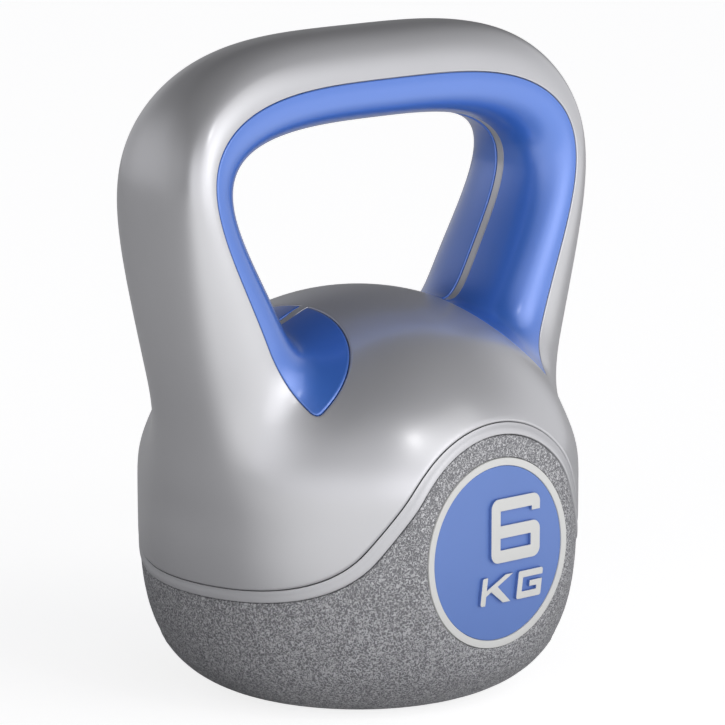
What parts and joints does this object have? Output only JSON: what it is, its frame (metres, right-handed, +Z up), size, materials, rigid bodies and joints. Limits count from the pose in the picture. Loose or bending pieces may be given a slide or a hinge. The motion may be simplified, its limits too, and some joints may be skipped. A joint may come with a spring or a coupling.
{
  "type": "kettlebell",
  "caption": "Moulded kettlebell with a broad loop handle, soft grip liners, a wavy trim band, a textured base and round weight badges.",
  "frame": {"origin": "on the floor under the middle of the bell", "axes": "+Z up through the handle, +X along the handle's bar, -Y out of the front badge"},
  "size_m": [0.2072, 0.1534, 0.25],
  "materials": {
    "silver_shell": "semi-gloss silver paint look",
    "blue_grip": "smooth glossy soft grip",
    "silver_trim": "satin silver",
    "textured_base": "fine worm-like moulded grain, silver on grey",
    "cement": "cast, unseen",
    "steel": "plain bar",
    "plug": "moulded black",
    "badge_silver": "satin silver",
    "badge_blue": "satin blue",
    "figure_silver": "satin silver face"
  },
  "bodies": {
    "root": {"upper_shell": "silver_shell", "grip_liner_front": "blue_grip", "grip_liner_rear": "blue_grip", "trim_band": "silver_trim", "base_shell": "textured_base", "cast_filling": "cement", "handle_rod": "steel", "fill_plug": "plug", "badge_ring_front": "badge_silver", "badge_disc_front": "badge_blue", "numeral_six_front": "figure_silver", "letter_k_front": "figure_silver", "letter_g_front": "figure_silver", "badge_ring_rear": "badge_silver", "badge_disc_rear": "badge_blue", "numeral_six_rear": "figure_silver", "letter_k_rear": "figure_silver", "letter_g_rear": "figure_silver"}
  },
  "joints": []
}
